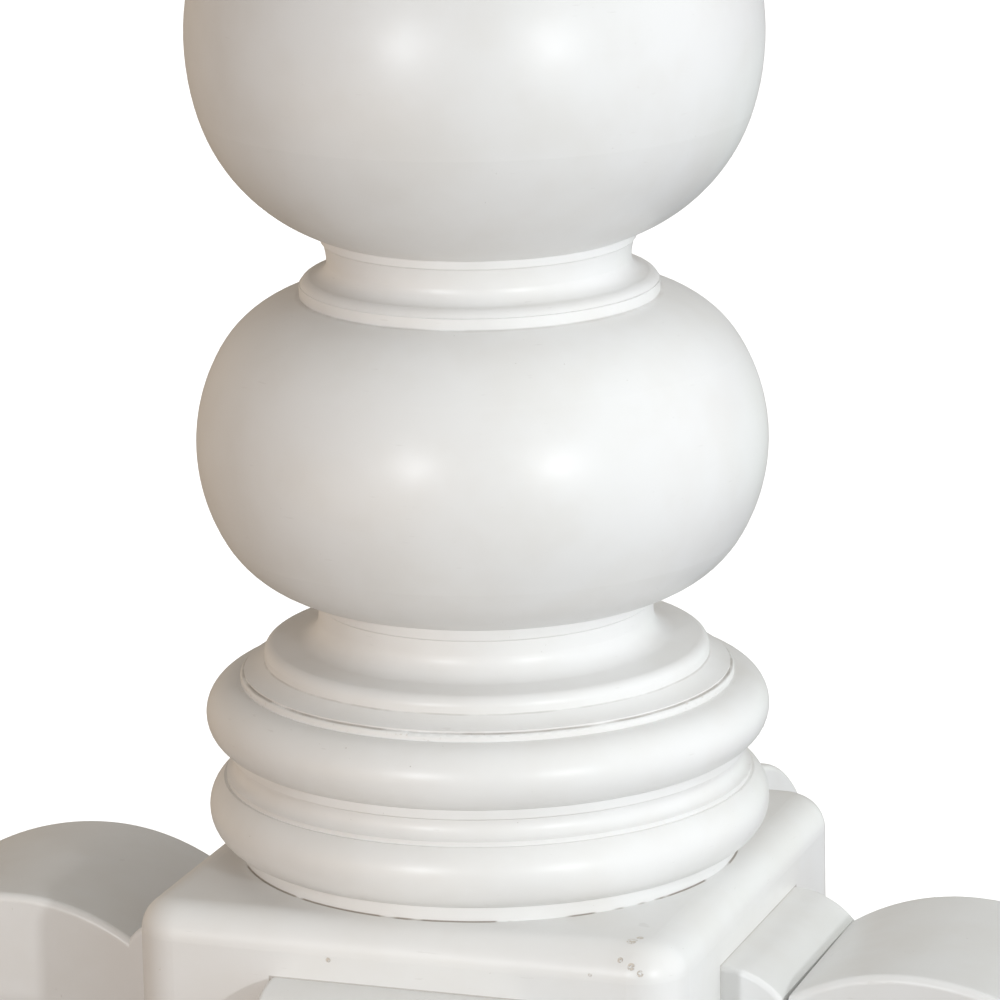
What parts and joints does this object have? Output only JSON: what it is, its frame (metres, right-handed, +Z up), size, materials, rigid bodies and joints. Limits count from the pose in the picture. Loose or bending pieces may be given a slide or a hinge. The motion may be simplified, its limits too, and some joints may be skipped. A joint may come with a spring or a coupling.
{
  "type": "table pedestal base",
  "caption": "Painted turned table pedestal: flattened balls, collars and a double-torus ring on a square hub with four scroll legs, screw glides and a board for the table top.",
  "frame": {"origin": "on the floor under the middle of the pedestal", "axes": "+Z up along the turned column; the legs point along -Y (front), +X (right), +Y (back) and -X (left)"},
  "size_m": [0.7396, 0.7396, 0.722],
  "materials": {
    "painted_wood": "satin white lacquer over a filled and primed hardwood",
    "bare_wood": "planed, unfinished",
    "zinc_steel": "zinc plated",
    "glide_plastic": "moulded, matt"
  },
  "bodies": {
    "pedestal": {"hub_block": "painted_wood", "base_ring": "painted_wood", "neck_ring": "painted_wood", "lower_ball": "painted_wood", "collar": "painted_wood", "upper_ball": "painted_wood", "top_collar": "painted_wood", "mounting_board": "painted_wood", "tie_rod": "zinc_steel", "tie_rod_nuts": "zinc_steel", "tie_rod_washers": "zinc_steel", "board_screws": "zinc_steel", "leg_bolts": "zinc_steel", "leg_bolt_nuts": "zinc_steel", "leg_bolt_washers": "zinc_steel", "leg_dowels": "bare_wood", "leg_front": "painted_wood", "pad_front": "painted_wood", "glide_insert_front": "zinc_steel", "leg_right": "painted_wood", "pad_right": "painted_wood", "glide_insert_right": "zinc_steel", "leg_back": "painted_wood", "pad_back": "painted_wood", "glide_insert_back": "zinc_steel", "leg_left": "painted_wood", "pad_left": "painted_wood", "glide_insert_left": "zinc_steel"},
    "glide_foot_front": {"glide_base_front": "glide_plastic"},
    "glide_screw_front": {"glide_stud_front": "zinc_steel"},
    "glide_foot_right": {"glide_base_right": "glide_plastic"},
    "glide_screw_right": {"glide_stud_right": "zinc_steel"},
    "glide_foot_back": {"glide_base_back": "glide_plastic"},
    "glide_screw_back": {"glide_stud_back": "zinc_steel"},
    "glide_foot_left": {"glide_base_left": "glide_plastic"},
    "glide_screw_left": {"glide_stud_left": "zinc_steel"}
  },
  "joints": [
    {"name": "glide_travel_front", "type": "slide", "parent": "pedestal", "child": "glide_foot_front", "axis": [0, 0, 1], "range_m": [-0.0075, 0]},
    {"name": "glide_turn_front", "type": "hinge", "parent": "glide_foot_front", "child": "glide_screw_front", "pos_m": [0, -0.329, 0.02], "axis": [0, 0, 1], "range_deg": [-2160, 0]},
    {"name": "glide_travel_right", "type": "slide", "parent": "pedestal", "child": "glide_foot_right", "axis": [0, 0, 1], "range_m": [-0.0075, 0]},
    {"name": "glide_turn_right", "type": "hinge", "parent": "glide_foot_right", "child": "glide_screw_right", "pos_m": [0.329, 0, 0.02], "axis": [0, 0, 1], "range_deg": [-2160, 0]},
    {"name": "glide_travel_back", "type": "slide", "parent": "pedestal", "child": "glide_foot_back", "axis": [0, 0, 1], "range_m": [-0.0075, 0]},
    {"name": "glide_turn_back", "type": "hinge", "parent": "glide_foot_back", "child": "glide_screw_back", "pos_m": [0, 0.329, 0.02], "axis": [0, 0, 1], "range_deg": [-2160, 0]},
    {"name": "glide_travel_left", "type": "slide", "parent": "pedestal", "child": "glide_foot_left", "axis": [0, 0, 1], "range_m": [-0.0075, 0]},
    {"name": "glide_turn_left", "type": "hinge", "parent": "glide_foot_left", "child": "glide_screw_left", "pos_m": [-0.329, 0, 0.02], "axis": [0, 0, 1], "range_deg": [-2160, 0]}
  ],
  "couplings": [
    {"joint": "glide_turn_front", "follows": "glide_travel_front", "rad_per_m": 5026.5},
    {"joint": "glide_turn_right", "follows": "glide_travel_right", "rad_per_m": 5026.5},
    {"joint": "glide_turn_back", "follows": "glide_travel_back", "rad_per_m": 5026.5},
    {"joint": "glide_turn_left", "follows": "glide_travel_left", "rad_per_m": 5026.5}
  ]
}
